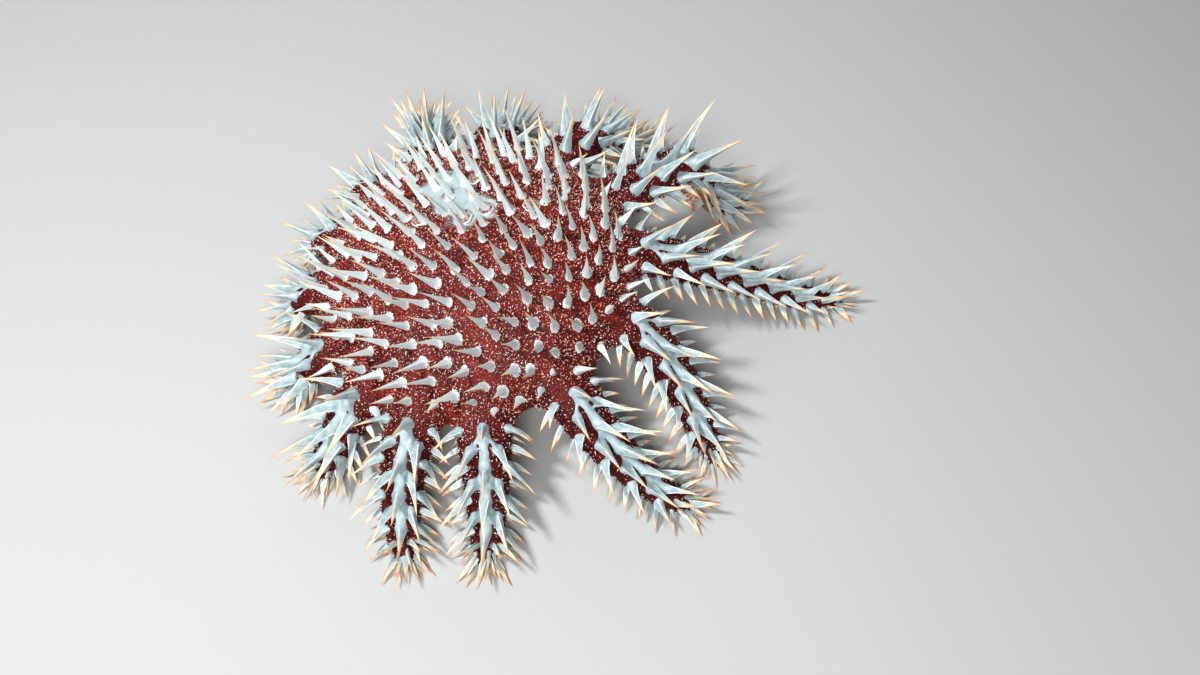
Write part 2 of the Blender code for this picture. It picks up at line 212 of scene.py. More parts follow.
def give_marks(piece, **marks):
    """Stores each mark at the vertices for the materials, as one number or one for each vertex."""
    for name, values in marks.items():
        layer = piece.data.attributes.new(name, "FLOAT", "POINT")
        layer.data.foreach_set("value", np.full(len(piece.data.vertices), values))


def tree_of(places):
    """A search tree that gives the number of the nearest place."""
    tree = KDTree(len(places))
    for number, place in enumerate(places):
        tree.insert(place, number)
    tree.balance()
    return tree


def noise_over(places, width):
    """Smooth noise from -1 to 1 at each place, which changes over the width."""
    return np.array([noise.noise(Vector(place) / width) for place in places.tolist()])


def from_axis(bearing, distance):
    angle = math.radians(bearing)
    return Vector((DISC_X + distance * math.cos(angle), DISC_Y + distance * math.sin(angle), 0.0))


def along_the_arm(site):
    """The way to the arm's tip at a spine's foot, which all of the arm's spines lean to."""
    lean = site.tip - site.foot
    return (lean - site.normal * lean.dot(site.normal)).normalized()


def row_of(site):
    """0 for a spine on the arm's crest, then 1 and 2 down its right side, -1 and -2 down its left."""
    heading = along_the_arm(site)
    side = heading.cross(UP).normalized()
    bearing = math.degrees(math.atan2(site.normal.dot(side), site.normal.dot(side.cross(heading))))
    if abs(bearing) < CREST_TO:
        return 0
    return int(math.copysign(1 if abs(bearing) < SHOULDER_TO else 2, bearing))


def downward_share(places, normals, on_arm):
    """How far each place belongs to the sole: it faces down, or away from the crest of its arm."""
    crest = [site for site in sites if site.kind == "arm" and row_of(site) == 0]
    tree = tree_of([site.foot for site in crest])
    backs = np.array([crest[tree.find(place)[1]].normal for place in places.tolist()])
    backs = backs * on_arm[:, None] + np.array(UP) * (1.0 - on_arm)[:, None]
    facing = np.maximum(-(normals * backs).sum(axis=1), -normals[:, 2])
    return smoothstep(SOLE_STARTS, SOLE_FULL, facing)


skin = add_object("skin", bare_data.copy())
apply_modifier(skin, "SUBSURF", levels=2, render_levels=2)
apply_modifier(skin, "REMESH", mode="VOXEL", voxel_size=SKIN_CELL, use_smooth_shade=True)
apply_modifier(skin, "SMOOTH", factor=0.5, iterations=4)

skin_places = read_vectors(skin, "co")
skin_normals = read_vectors(skin, "normal")
collar = np.zeros(len(skin_places))
for site in sites:
    gap = ((skin_places - np.array(site.foot)) ** 2).sum(axis=1)
    collar = np.maximum(collar, np.exp(-gap / MOUND_SPREAD ** 2))
halo = np.zeros(len(skin_places))
for bearing, distance, spread in PALE_PATCHES:
    gap = ((skin_places[:, :2] - np.array(from_axis(bearing, distance).xy)) ** 2).sum(axis=1)
    halo = np.maximum(halo, np.exp(-gap / spread ** 2) * (skin_normals[:, 2] > 0))
halo *= 1.0 + PATCH_GAPS * noise_over(skin_places, PATCH_GRAIN)
flank = smoothstep(FLANK_STARTS, FLANK_FULL, norms(skin_places - np.array(DISC_CENTRE)))
sole = downward_share(skin_places, skin_normals, flank)
skin_places += skin_normals * (MOUND_RISE * collar - COAT_DEPTH)[:, None]
skin_places[:, 2] = np.maximum(skin_places[:, 2], 0.0)
skin.data.vertices.foreach_set("co", skin_places.ravel())
give_marks(skin, collar=collar, halo=halo, flank=flank, sole=sole)
skin.data.update()
skin_normals = read_vectors(skin, "normal")
skin.data.calc_loop_triangles()
skin_triangles = [tuple(triangle.vertices) for triangle in skin.data.loop_triangles]
skin_surface = BVHTree.FromPolygons(skin_places.tolist(), skin_triangles)


def colour(code):
    """An sRGB hex colour as the linear values that a shader takes."""
    channels = [int(code[start:start + 2], 16) / 255 for start in (0, 2, 4)]
    linear = [c / 12.92 if c <= 0.04045 else ((c + 0.055) / 1.055) ** 2.4 for c in channels]
    return (*linear, 1.0)


def fill_inputs(tree, node, **inputs):
    """Fills inputs, called by name or by i and number, with values, colours' codes or links."""
    for name, value in inputs.items():
        socket = node.inputs[int(name[1:])] if name[1:].isdigit() else node.inputs[name.replace("_", " ")]
        if isinstance(value, bpy.types.Node):
            value = next(output for output in value.outputs if output.enabled)
        if isinstance(value, bpy.types.NodeSocket):
            tree.links.new(value, socket)
        else:
            socket.default_value = colour(value) if isinstance(value, str) else value


def add_node(tree, kind, settings=(), **inputs):
    """Adds a shader node with its settings and links."""
    node = tree.nodes.new("ShaderNode" + kind)
    for setting, value in dict(settings).items():
        setattr(node, setting, value)
    fill_inputs(tree, node, **inputs)
    return node


def new_material(name, **inputs):
    material = bpy.data.materials.new(name)
    material.use_nodes = True
    shader = material.node_tree.nodes["Principled BSDF"]
    fill_inputs(material.node_tree, shader, **inputs)
    return material, material.node_tree, shader


COLOURS = {"data_type": "RGBA"}  # a Mix node's inputs 6 and 7 are then colours
SOFTLY = {"interpolation_type": "SMOOTHSTEP"}  # a Map Range's inputs 1 and 2 are its limits


def hide_colour(tree, deep, fresh):
    """The animal's markings, which the skin and what stands on it share, and the place they read."""
    place = add_node(tree, "TexCoord").outputs["Object"]
    # The patches are 18 mm wide, and the grains 2.4 mm, coarser than life so that they show.
    patches = add_node(tree, "TexNoise", Vector=place, Scale=55.0, Detail=3.0, Roughness=0.6)
    grains = add_node(tree, "TexNoise", Vector=place, Scale=420.0, Detail=2.0)
    patch_share = add_node(tree, "MapRange", SOFTLY, Value=patches, i1=0.40, i2=0.60)
    grain_share = add_node(tree, "MapRange", SOFTLY, Value=grains, i1=0.35, i2=0.70)
    red = add_node(tree, "Mix", COLOURS, i0=patch_share, i6=deep, i7=fresh)
    red = add_node(tree, "Mix", COLOURS, i0=grain_share, i6=red, i7=fresh)
    maroon = add_node(tree, "Mix", COLOURS, i0=grain_share, i6="38080A", i7="5E1515")
    flank_share = add_node(tree, "Attribute", {"attribute_name": "flank"}).outputs["Fac"]
    return add_node(tree, "Mix", COLOURS, i0=flank_share, i6=red, i7=maroon), place


# Starfish hide, wet and soft: brick red with a fine grain, half glossy, paler on the sole. Its reds are
# darker than the nubs', partly its own colour and partly painted shade in the gaps between the nubs.
hide, tree, shader = new_material("wet_starfish_hide", Roughness=0.55, IOR=1.38, Specular_IOR_Level=0.2)
# These reds are the hide's own colour, darkened further as painted shade for the gaps between the nubs.
base, place = hide_colour(tree, "2E090B", "641C18")
on_collar, in_halo, on_sole = (add_node(tree, "Attribute", {"attribute_name": mark}).outputs["Fac"]
                               for mark in ("collar", "halo", "sole"))
on_collar = add_node(tree, "MapRange", SOFTLY, Value=on_collar, i1=0.35, i2=0.95, i4=0.55)
in_halo = add_node(tree, "MapRange", SOFTLY, Value=in_halo, i1=0.25, i2=0.55)
for share, tint in ((on_collar, "9C5A52"), (in_halo, "A5B7BB"), (on_sole, "B08468")):
    base = add_node(tree, "Mix", COLOURS, i0=share, i6=base, i7=tint)
pores = add_node(tree, "TexVoronoi", Vector=place, Scale=700.0)  # 1.4 mm apart, coarse so as to show
bump = add_node(tree, "Bump", Strength=0.5, Distance=0.0006, Height=pores)
fill_inputs(tree, shader, Base_Color=base, Normal=bump)
skin.data.materials.append(hide)
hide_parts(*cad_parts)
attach(skin, "root")


# ------------------------ spines
# Each is a blade of chalky calcite under thin blue-grey skin: a broad foot, three keels and a
# needle tip that turns cream, then peach. They grow out of the hide.

DISC_BLADE = ((0.0, 1.40), (0.05, 1.08), (0.11, 0.90), (0.22, 0.75), (0.38, 0.59), (0.57, 0.40),
              (0.76, 0.22), (0.92, 0.08))
ARM_BLADE = ((0.0, 0.94), (0.08, 0.84), (0.18, 0.70), (0.30, 0.57), (0.46, 0.44), (0.63, 0.31),
             (0.80, 0.17), (0.93, 0.07))
COMB_BLADE = ((0.0, 0.86), (0.12, 0.80), (0.30, 0.70), (0.50, 0.56), (0.72, 0.36), (0.90, 0.14))
FINE_BLADE = ((0.0, 1.0), (0.25, 0.84), (0.60, 0.52), (0.88, 0.18))
KEELS = 3
KEEL = 0.26  # how far the keels stand out from a round section
KEEL_STARTS = 0.04  # share of the height
KEEL_FULL = 0.25
KEEL_EDGE = math.radians(44)  # sharper corners than this stay crisp

# thickness is a share of the radius. The spine bends at straight_share of its length and strays
# there by up to bow. warmth moves the tip's colours down, and no nub stands nearer than clear.
# The field after warmth is painted light: the share of a pale tint that makes a kind's spines look more
# brightly lit, most of all on the disc.
Kind = namedtuple("Kind", "blade sides radius thickness straight_share bow warmth paleness clear")
KINDS = {
    "disc": Kind(DISC_BLADE, 9, 0.0031, 0.80, 0.24, 0.0022, -0.04, 0.90, 0.0030),
    "arm": Kind(ARM_BLADE, 9, 0.0050, 0.74, 0.28, 0.0008, 0.03, 0.10, 0.0038),
    "comb": Kind(COMB_BLADE, 6, 0.0030, 0.70, 0.25, 0.0006, 0.12, 0.20, 0.0024),
    "fringe": Kind(FINE_BLADE, 6, 0.0015, 0.75, 0.25, 0.0004, 0.24, 0.20, 0.0012),
    "fan": Kind(FINE_BLADE, 6, 0.0014, 0.85, 0.20, 0.0006, 0.16, 0.30, 0.0010),
    "oral": Kind(FINE_BLADE, 6, 0.0012, 0.75, 0.30, 0.0004, 0.20, 0.20, 0.0010),
}


def draw_up(sides, profile):
    """Places and faces of a circle drawn up in steps of (height, radius) to a point at height 1."""
    bpy.ops.object.select_all(action="DESELECT")
    bpy.ops.mesh.primitive_circle_add(vertices=sides, radius=profile[0][1])
    piece = bpy.context.object
    bpy.ops.object.mode_set(mode="EDIT")
    for (low, before), (high, after) in zip(profile, profile[1:]):
        bpy.ops.mesh.extrude_region_move(TRANSFORM_OT_translate={"value": (0, 0, high - low)})
        bpy.ops.transform.resize(value=(after / before, after / before, 1.0))
    bpy.ops.mesh.extrude_region_move(TRANSFORM_OT_translate={"value": (0, 0, 1.0 - profile[-1][0])})
    bpy.ops.mesh.merge(type="CENTER")
    bpy.ops.mesh.select_all(action="SELECT")
    bpy.ops.mesh.normals_make_consistent(inside=False)
    bpy.ops.object.mode_set(mode="OBJECT")
    places = read_vectors(piece, "co")
    faces = [tuple(face.vertices) for face in piece.data.polygons]
    bpy.data.objects.remove(piece)
    firsts = [face.index(min(face)) for face in faces]  # so that every run has the same corners
    return places, sorted(face[first:] + face[:first] for face, first in zip(faces, firsts))


def keeled(template):
    """Presses long edges into a round template and says how near each point is to one."""
    places, faces = template
    bearing = np.arctan2(places[:, 1], places[:, 0]) - math.pi / 2
    ridge = 0.5 + 0.5 * np.cos(KEELS * bearing)
    strength = KEEL * smoothstep(KEEL_STARTS, KEEL_FULL, places[:, 2])
    places[:, :2] *= (1.0 + strength * (2.0 * ridge - 1.0))[:, None]
    return places, faces, ridge


TEMPLATES = {name: keeled(draw_up(kind.sides, kind.blade)) for name, kind in KINDS.items()}

SEED = 11
rng = np.random.default_rng(SEED)
noise.seed_set(SEED)

LOWEST = 0.0012  # that a spine's tip may reach
USUAL_LENGTH = 0.033  # of an arm's big spine, at which its foot has its full width
FRINGE_AHEAD = 0.0050  # of the comb spine above it
FRINGE_BELOW = 0.0060
FRINGE_LEAN = 0.45
FRINGE_DROOP = 0.15
FRINGE_LENGTH = (0.0085, 0.0125)
END_ASIDE = 0.016  # how far from the last big spine's foot an arm's end is looked for
END_AHEAD = 0.030
FAN_REACH = 0.0130  # from the end of an arm
FAN_SPACING = 0.0032
FAN_FACING = -0.6  # least share by which the skin there faces up
FAN_LEAN = 0.9
FAN_SPLAY = 0.75
FAN_STRAY = 0.15
FAN_LENGTH = (0.0135, 0.0205)
CURL_HEIGHT = 0.060  # an arm whose end is higher than this is the curled one
CURL_GROWTH = 1.35


def grown_out(node, start, direction, length, kind):
    """A site where a smaller spine grows from the skin nearest to a place, clear of the floor."""
    foot, normal, _, _ = skin_surface.find_nearest(start)
    tip = foot + direction.normalized() * length
    tip.z = max(tip.z, LOWEST)
    return Site(node, foot, normal, tip, kind)


def spaced_out(places, spacing):
    """The numbers of the places to keep so that no two are closer than the spacing."""
    taken = {}
    kept = []
    for number, (x, y, z) in enumerate(places.tolist()):
        i, j, k = int(x // spacing), int(y // spacing), int(z // spacing)
        near = [point for a in (i - 1, i, i + 1) for b in (j - 1, j, j + 1) for c in (k - 1, k, k + 1)
                for point in taken.get((a, b, c), ())]
        if all((x - p) ** 2 + (y - q) ** 2 + (z - r) ** 2 > spacing ** 2 for p, q, r in near):
            taken.setdefault((i, j, k), []).append((x, y, z))
            kept.append(number)
    return np.array(kept)


def end_of_arm(big_spines):
    """The furthest place of an arm's skin, with the way that the arm heads there."""
    last = max(big_spines, key=lambda site: (site.foot - DISC_CENTRE).xy.length)
    heading = along_the_arm(last)
    offset = skin_places - np.array(last.foot)
    ahead = offset @ np.array(heading)
    aside = norms(offset - ahead[:, None] * np.array(heading))
    own = np.where((aside < END_ASIDE) & (ahead < END_AHEAD), ahead, -1.0)
    return Vector(skin_places[own.argmax()]), heading


small_sites = []
arm_spines = {}
for arm_name in ARM_NAMES:
    on_arm = [site for site in sites if site.node.startswith(arm_name)]
    arm_spines[arm_name] = big_spines = [site for site in on_arm if site.kind == "arm"]
    mean_length = sum((site.tip - site.foot).length for site in big_spines) / len(big_spines)
    stature = math.sqrt(mean_length / USUAL_LENGTH)
    for site in on_arm:
        if site.kind == "comb":
            heading = along_the_arm(site)
            below = site.normal.cross(heading)
            below *= math.copysign(1.0, -below.z)
            start = site.foot + heading * FRINGE_AHEAD + below * FRINGE_BELOW
            way = site.normal + heading * FRINGE_LEAN - UP * FRINGE_DROOP
            small_sites.append(grown_out(site.node, start, way, rng.uniform(*FRINGE_LENGTH), "fringe"))
    end, heading = end_of_arm(big_spines)
    if end.z > CURL_HEIGHT:
        stature *= CURL_GROWTH
    near_end = norms(skin_places - np.array(end)) < FAN_REACH
    near_end &= (skin_places[:, 2] > 2 * LOWEST) & (skin_normals[:, 2] > FAN_FACING)
    spots = rng.permutation(np.flatnonzero(near_end))
    for spot in spots[spaced_out(skin_places[spots], FAN_SPACING)]:
        stray = Vector(rng.uniform(-FAN_STRAY, FAN_STRAY, 3))
        way = heading * FAN_LEAN + Vector(skin_normals[spot]) * FAN_SPLAY + stray
        length = rng.uniform(*FAN_LENGTH) * stature
        small_sites.append(grown_out(arm_name + "_tip", Vector(skin_places[spot]), way, length, "fan"))

# Shorter spines fill the band between those of the back and the first ones of the arms.
RIM_FROM = 0.070  # level distance from the disc's axis
RIM_TO = 0.116
RIM_FACING = 0.45  # least share by which the skin there faces up
RIM_SPACING = 0.0116
RIM_LENGTH = (0.0130, 0.0190)
big_tree = tree_of([site.foot for site in sites])
level = norms(skin_places[:, :2] - np.array(DISC_CENTRE.xy))
on_rim = (level > RIM_FROM) & (level < RIM_TO) & (skin_normals[:, 2] > RIM_FACING)
spots = rng.permutation(np.flatnonzero(on_rim))
spots = spots[[big_tree.find(place)[2] > RIM_SPACING for place in skin_places[spots].tolist()]]
for spot in spots[spaced_out(skin_places[spots], RIM_SPACING)]:
    place = Vector(skin_places[spot])
    neighbour = sites[big_tree.find(place)[1]]
    way = (neighbour.tip - neighbour.foot).normalized() + Vector(skin_normals[spot])
    small_sites.append(grown_out("disc", place, way, rng.uniform(*RIM_LENGTH), "disc"))

SUNK = 0.0012  # of a spine's foot under the skin
TIP_STRAY = 0.21  # of a disc spine, as a share of its length
ANY_WAY = (1.0, 0.2, 0.1)  # for the bend of a spine that is straight
STRAIGHT = 1e-9
GIRTH_SPREAD = (0.84, 1.14)
TWIST_SPREAD = 0.35  # radians
WARMTH_SPREAD = 0.07
STRIP_MARGIN = 0.06  # of a spine's own cell on the map
STRIP_ROUND = 1.2  # most turns round a spine in its cell, with what passes the seam


def middle_line(kind, site, along):
    """Centres of a spine at some shares of its length, the headings there, and the way across."""
    length = (site.tip - site.foot).length
    lead = (site.normal + (site.tip - site.foot).normalized()).normalized()
    stray = noise.noise_vector(site.foot / MERGE)
    start = np.array(site.foot - site.normal * SUNK)
    handle = np.array(site.foot + lead * kind.straight_share * length + stray * kind.bow)
    end = np.array(site.tip + stray * (TIP_STRAY * length if site.kind == "disc" else 0.0))
    along = along[:, None]
    middle = start * (1 - along) ** 2 + handle * 2 * along * (1 - along) + end * along ** 2
    heading = (handle - start) * 2 * (1 - along) + (end - handle) * 2 * along
    heading /= norms(heading)[:, None]
    across = np.cross(handle - start, end - start)
    if np.linalg.norm(across) < STRAIGHT:
        across = np.cross(handle - start, ANY_WAY)
    return middle, heading, across / np.linalg.norm(across)


def girth_of(site):
    """Share of its kind's width that a spine has: an arm's long spines have wider feet."""
    return math.sqrt((site.tip - site.foot).length / USUAL_LENGTH) if site.kind == "arm" else 1.0


def bend_along(kind, site, places, girth, twist):
    """A template's places bent from its foot along the skin's normal round to the tip."""
    middle, heading, across = middle_line(kind, site, places[:, 2])
    outward = np.cross(heading, across)
    x = places[:, 0:1] * math.cos(twist) - places[:, 1:2] * math.sin(twist)
    y = places[:, 0:1] * math.sin(twist) + places[:, 1:2] * math.cos(twist)
    return middle + (across * x + outward * y * kind.thickness) * kind.radius * girth


def joined(name, copies, faces_of_each, material, marks):
    """One object from many copies: their places, faces and marks at each vertex of each copy."""
    starts = np.cumsum([0] + [len(copy) for copy in copies[:-1]])
    faces = [tuple(vert + start for vert in face)
             for start, own_faces in zip(starts, faces_of_each) for face in own_faces]
    data = bpy.data.meshes.new(name)
    data.from_pydata(np.concatenate(copies), [], faces)
    data.shade_smooth()
    data.materials.append(material)
    piece = add_object(name, data)
    give_marks(piece, **{mark: np.concatenate(values) for mark, values in marks.items()})
    return piece


def read_counts(items, what):
    """One whole number from each of a mesh's items, such as the vertex of each corner."""
    values = np.empty(len(items), dtype=np.int64)
    items.foreach_get(what, values)
    return values


def give_map(piece, uv):
    piece.data.uv_layers.new(name="OFBake").data.foreach_set("uv", uv.ravel())


def lay_out_spines(piece, counts, round_it, up_it):
    """A map with each spine as a strip of its own: round it across, from foot to tip up."""
    cells = math.ceil(math.sqrt(len(counts)))
    corner_verts = read_counts(piece.data.loops, "vertex_index")
    face_starts = read_counts(piece.data.polygons, "loop_start")
    face_sizes = read_counts(piece.data.polygons, "loop_total")
    u = round_it[corner_verts]
    highest = np.repeat(np.maximum.reduceat(u, face_starts), face_sizes)
    u = np.where(highest - u > 0.5, u + 1.0, u) / STRIP_ROUND  # a face over the seam stays whole
    cell = np.repeat(np.arange(len(counts)), counts)[corner_verts]
    corners = np.column_stack([u, up_it[corner_verts]])
    corners = STRIP_MARGIN + (1.0 - 2.0 * STRIP_MARGIN) * corners
    give_map(piece, (np.column_stack([cell % cells, cell // cells]) + corners) / cells)


# Thin skin over chalk: matt to half glossy, cool and pale below, warm at the tip and its edges; a pale tint
# over it is painted light, strongest on the disc's spines.
spine_hide, tree, shader = new_material("skin_over_calcite", Roughness=0.44, IOR=1.45)
along, warmth, edge, paleness = (add_node(tree, "Attribute", {"attribute_name": mark}).outputs["Fac"]
                                 for mark in ("along", "warmth", "edge", "paleness"))
place = add_node(tree, "TexCoord").outputs["Object"]
mottle = add_node(tree, "TexNoise", Vector=place, Scale=220.0, Detail=3.0)  # 4.5 mm wide
mottle_share = add_node(tree, "MapRange", SOFTLY, Value=mottle, i1=0.3, i2=0.7)
on_edge = add_node(tree, "MapRange", SOFTLY, Value=edge, i1=0.60, i2=1.0)
warm = add_node(tree, "Math", {"operation": "ADD"}, i0=along, i1=warmth)
warm = add_node(tree, "Math", {"operation": "MULTIPLY_ADD"}, i0=on_edge, i1=0.08, i2=warm)
cream = add_node(tree, "MapRange", SOFTLY, Value=warm, i1=0.54, i2=0.90)
peach = add_node(tree, "MapRange", SOFTLY, Value=warm, i1=0.83, i2=1.10)
base = add_node(tree, "Mix", COLOURS, i0=mottle_share, i6="88A1A9", i7="B0C3C8")
# The first tint is painted light: it whitens each kind's spines by its share, most on the disc, as if more
# lamp light fell there.
for share, tint in ((paleness, "D4E1E4"), (on_edge, "EDF1EE"), (cream, "F0D9B4"), (peach, "F0986A")):
    base = add_node(tree, "Mix", COLOURS, i0=share, i6=base, i7=tint)
fibres = add_node(tree, "TexNoise", Vector=place, Scale=900.0, Detail=2.0)  # 1.1 mm, so as to show
bump = add_node(tree, "Bump", Strength=0.25, Distance=0.0003, Height=fibres)
fill_inputs(tree, shader, Base_Color=base, Normal=bump)


def make_spines(name, own):
    """All the spines of one part of the body as one piece."""
    copies, faces_of_each, bearings = [], [], []
    marks = {"along": [], "edge": [], "warmth": [], "paleness": []}
    for site in own:
        kind = KINDS[site.kind]
        places, faces, ridge = TEMPLATES[site.kind]
        girth = girth_of(site) * rng.uniform(*GIRTH_SPREAD)
        copies.append(bend_along(kind, site, places, girth, rng.normal(0.0, TWIST_SPREAD)))
        faces_of_each.append(faces)
        bearings.append((np.arctan2(places[:, 1], places[:, 0]) / (2 * math.pi)) % 1.0)
        warmth = kind.warmth + rng.uniform(-WARMTH_SPREAD, WARMTH_SPREAD)
        marks["along"].append(places[:, 2])
        marks["edge"].append(ridge)
        marks["warmth"].append(np.full(len(places), warmth))
        marks["paleness"].append(np.full(len(places), kind.paleness))
    spines = joined(name, copies, faces_of_each, spine_hide, marks)
    lay_out_spines(spines, [len(copy) for copy in copies],
                   np.concatenate(bearings), np.concatenate(marks["along"]))
    select_only(spines)
    bpy.ops.object.shade_smooth_by_angle(angle=KEEL_EDGE)
    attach(spines, "root")


for group in ["disc"] + ARM_NAMES:
    make_spines(f"{group}_spines", [site for site in sites + small_sites if site.node.startswith(group)])


# ------------------------ arm ridges
# Down the crest of every arm the feet of the big spines grow together into one pale, satin
# ridge, and a web runs from it to the next row of spines. Those lower down stand on their own.

RIDGE_STARTS = 0.104  # level distance from the disc's axis
ROW_BACK = (0.002, 0.021)  # how far behind a spine's foot the foot that it is tied to may be
CREST_BACK = (0.008, 0.032)
CREST_RADIUS = (0.0046, 0.0036)  # at its ends and half way
CREST_LIFT = (-0.0014, -0.0022)  # of its centre over the skin
WEB_RADIUS = (0.0030, 0.0015)
WEB_LIFT = (-0.0008, -0.0010)
FOOT_STUB = 0.36  # share of a spine that the ridge's skin climbs
FOOT_FLARE = (1.04, 0.82)  # how wide it is there beside the spine, at the foot and at its end
STEPS = 7
RIDGE_CELL = 0.00085
SAG_POWER = 1.5

Rod = namedtuple("Rod", "centres radii alongs")


def tied_to(site, row, big_spines):
    """The nearest foot behind this one, in the row that is one nearer to the crest."""
    reach = CREST_BACK if row == 0 else ROW_BACK
    wanted = row - (row > 0) + (row < 0)
    heading = along_the_arm(site)
    behind = [other for other, other_row in big_spines
              if other_row == wanted and reach[0] < (site.foot - other.foot).dot(heading) < reach[1]]
    return min(behind, key=lambda other: (site.foot - other.foot).length, default=None)


def tie(first, second, radii, lifts, girth):
    """A rod laid on the skin from one foot to another, thinner and lower half way."""
    centres, widths = [], []
    for share in np.linspace(0.0, 1.0, STEPS):
        slack = 1.0 - abs(2.0 * share - 1.0) ** SAG_POWER
        spot, normal, _, _ = skin_surface.find_nearest(first.lerp(second, share))
        centres.append(spot + normal * (lifts[0] + (lifts[1] - lifts[0]) * slack) * girth)
        widths.append((radii[0] + (radii[1] - radii[0]) * slack) * girth)
    return Rod(centres, widths, np.zeros(STEPS))


def stub(site):
    """The lower part of a spine, which the ridge's skin climbs."""
    kind = KINDS["arm"]
    alongs = np.linspace(0.0, FOOT_STUB, STEPS)
    centres, _, _ = middle_line(kind, site, alongs)
    profile = np.interp(alongs, *zip(*ARM_BLADE))
    flare = FOOT_FLARE[0] - (FOOT_FLARE[0] - FOOT_FLARE[1]) * smoothstep(0.0, FOOT_STUB, alongs)
    radii = kind.radius * girth_of(site) * profile * flare
    return Rod([Vector(centre) for centre in centres], radii, alongs)


def make_ridge(name, rods):
    """Rods joined under one skin, which remembers how far up a spine each place is."""
    curve = bpy.data.curves.new(name, "CURVE")
    curve.dimensions = "3D"
    curve.bevel_depth = 1.0
    curve.bevel_resolution = 2
    curve.use_fill_caps = True
    for rod in rods:
        spline = curve.splines.new("POLY")
        spline.points.add(STEPS - 1)
        for point, centre, radius in zip(spline.points, rod.centres, rod.radii):
            point.co = (*centre, 1.0)
            point.radius = radius
    select_only(add_object(name, curve))
    bpy.ops.object.convert(target="MESH")
    ridge = bpy.context.object
    apply_modifier(ridge, "REMESH", mode="VOXEL", voxel_size=RIDGE_CELL, use_smooth_shade=True)
    apply_modifier(ridge, "SMOOTH", factor=0.5, iterations=8)
    places = read_vectors(ridge, "co")
    places[:, 2] = np.maximum(places[:, 2], 0.0)
    ridge.data.vertices.foreach_set("co", places.ravel())
    tree = tree_of([centre for rod in rods for centre in rod.centres])
    alongs = np.concatenate([rod.alongs for rod in rods])
    climbed = np.array([alongs[tree.find(place)[1]] for place in places.tolist()])
    # The ridge takes the arm spines' share of painted light.
    give_marks(ridge, along=climbed, edge=0.5, warmth=0.0, paleness=KINDS["arm"].paleness)
    ridge.data.materials.append(spine_hide)
    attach(ridge, "root")
    return places, [tuple(face.vertices) for face in ridge.data.polygons]


ridge_places, ridge_faces = [], []
for arm_name in ARM_NAMES:
    big_spines = [(site, row_of(site)) for site in arm_spines[arm_name]
                  if (site.foot - DISC_CENTRE).xy.length > RIDGE_STARTS]
    rods = [stub(site) for site, _ in big_spines]
    for site, row in big_spines:
        other = tied_to(site, row, big_spines)
        radii, lifts = (CREST_RADIUS, CREST_LIFT) if row == 0 else (WEB_RADIUS, WEB_LIFT)
        if other and abs(row) < 2:
            rods.append(tie(other.foot, site.foot, radii, lifts, girth_of(site)))
    places, faces = make_ridge(f"{arm_name}_ridge", rods)
    ridge_faces += [tuple(vert + len(ridge_places) for vert in face) for face in faces]
    ridge_places += places.tolist()
ridge_surface = BVHTree.FromPolygons(ridge_places, ridge_faces)


# ------------------------ papulae
# Soft, thin-walled gill nubs about a millimetre across stand all over the back between the
# spines, each grown out through the hide, redder and brighter than the hide below.

PAPULA_TRIES = 260000
PAPULA_SPACING = 0.00165
PAPULA_RADIUS = (0.00052, 0.00078)
PAPULA_HEIGHT = (0.0011, 0.0017)
PAPULA_SUNK = 0.0003
PAPULA_TILT = (0.0, 0.35)
PAPULA_LOWEST = 0.0025
PAPULA_SOLE = 0.5  # more of the sole than this stays bare
SMOOTH_HALO = 0.42  # whiter skin than this stays bare
PLATE_CLEAR = 0.0066  # from the middle of a sieve plate
RIDGE_CLEAR = 0.0006
RIDGE_DEPTH = 0.0090  # more than any ridge reaches over the hide
PATCH_ACROSS = 0.003  # of each copy on the shared map
OVER_FLOOR = 0.0003  # lowest that anything soft may reach

all_sites = sites + small_sites
foot_tree = tree_of([site.foot for site in all_sites])


def from_ridge(place, normal):
    """How far a place of the hide is outside the nearest ridge, less than nothing if it is under one."""
    _, facing, _, _ = ridge_surface.ray_cast(place, normal, RIDGE_DEPTH)
    if facing is not None and facing.dot(normal) > 0.0:
        return -RIDGE_CLEAR
    distance = ridge_surface.find_nearest(place, RIDGE_DEPTH)[3]
    return RIDGE_DEPTH if distance is None else distance - RIDGE_CLEAR


def free_room(places, normals):
    """For each place, how far it is outside the nearest spine's foot, ridge or sieve plate."""
    room = []
    for place, normal in zip(places.tolist(), normals.tolist()):
        _, number, distance = foot_tree.find(place)
        clear = KINDS[all_sites[number].kind].clear
        room.append(min(distance - clear, from_ridge(Vector(place), Vector(normal))))
    room = np.array(room)
    for bearing, distance in SIEVE_PLATES:
        from_plate = norms(places[:, :2] - np.array(from_axis(bearing, distance).xy))
        room = np.minimum(room, np.where(places[:, 2] > DISC_CENTRE.z, from_plate - PLATE_CLEAR, room))
    return room


def open_places(count, most_sole, lowest):
    """Random places on the hide, evenly spread, but not on its sole, low down or in its pale patches.

    With them come their normals, their shares of the flank and the free room round each.
    """
    triangles = np.array(skin_triangles)
    corners = skin_places[triangles]
    area = norms(np.cross(corners[:, 1] - corners[:, 0], corners[:, 2] - corners[:, 0]))
    own = triangles[rng.choice(len(area), count, p=area / area.sum())]
    shares = rng.dirichlet((1.0, 1.0, 1.0), count)
    places = (skin_places[own] * shares[:, :, None]).sum(axis=1)
    normals = (skin_normals[own] * shares[:, :, None]).sum(axis=1)
    normals /= norms(normals)[:, None]
    flanks, halos, soles = ((mark[own] * shares).sum(axis=1) for mark in (flank, halo, sole))
    fit = (soles < most_sole) & (places[:, 2] > lowest) & (halos < SMOOTH_HALO)
    return places[fit], normals[fit], flanks[fit], free_room(places[fit], normals[fit])


